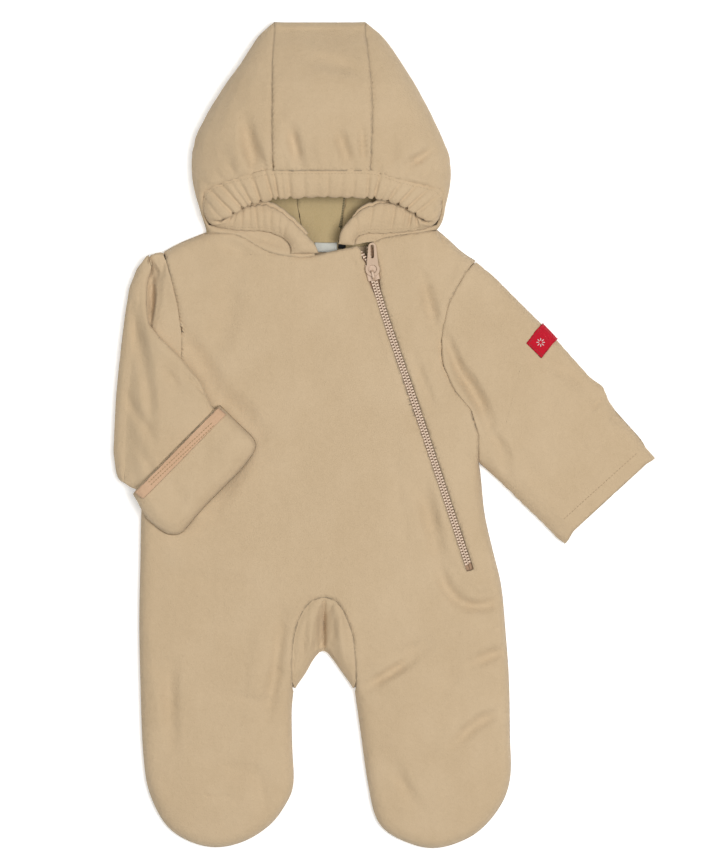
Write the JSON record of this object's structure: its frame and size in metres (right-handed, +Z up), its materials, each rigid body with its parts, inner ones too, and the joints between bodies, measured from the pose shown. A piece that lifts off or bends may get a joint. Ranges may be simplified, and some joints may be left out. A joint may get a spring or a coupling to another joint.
{
  "type": "hooded baby bunting suit",
  "caption": "Hooded fleece bunting suit for a baby, laid flat: slanting zip with a hinged pull, closed feet, gathered hood edge and a sleeve folded over with its mitten cuff.",
  "frame": {"origin": "centre of the bounding box's base, on the surface that the suit lies on", "axes": "+X towards the wearer's left, +Y towards the hood, +Z up out of the front"},
  "size_m": [0.487, 0.744, 0.0495],
  "materials": {
    "fleece": "soft brushed fleece, matt",
    "fleece_hem": "turned fleece hem, matt",
    "zip_tape": "woven tape, matt",
    "zip_plastic": "moulded, satin",
    "label_red": "woven label, matt",
    "label_grey": "woven label, satin",
    "tab_black": "woven tab, matt"
  },
  "bodies": {
    "garment": {"back": "fleece", "front": "fleece", "gusset": "fleece", "hood_casing": "fleece", "hood_centre": "fleece", "hood_left_side": "fleece", "hood_right_side": "fleece", "left_mitten_flap": "fleece", "left_sleeve": "fleece", "neck_label": "label_grey", "neck_tab": "tab_black", "right_flap_hem": "fleece_hem", "right_mitten_flap": "fleece", "right_sleeve": "fleece", "sleeve_label": "label_red", "zip_slider": "zip_plastic", "zip_tape_left": "zip_tape", "zip_tape_right": "zip_tape", "zip_teeth_left": "zip_plastic", "zip_teeth_right": "zip_plastic"},
    "pull": {"zip_pull": "zip_plastic"}
  },
  "joints": [
    {"name": "pull_hinge", "type": "hinge", "parent": "garment", "child": "pull", "pos_m": [-0.00973, 0.14394, 0.0226], "axis": [0.9998, 0.0178, 0], "range_deg": [0, 170]}
  ]
}
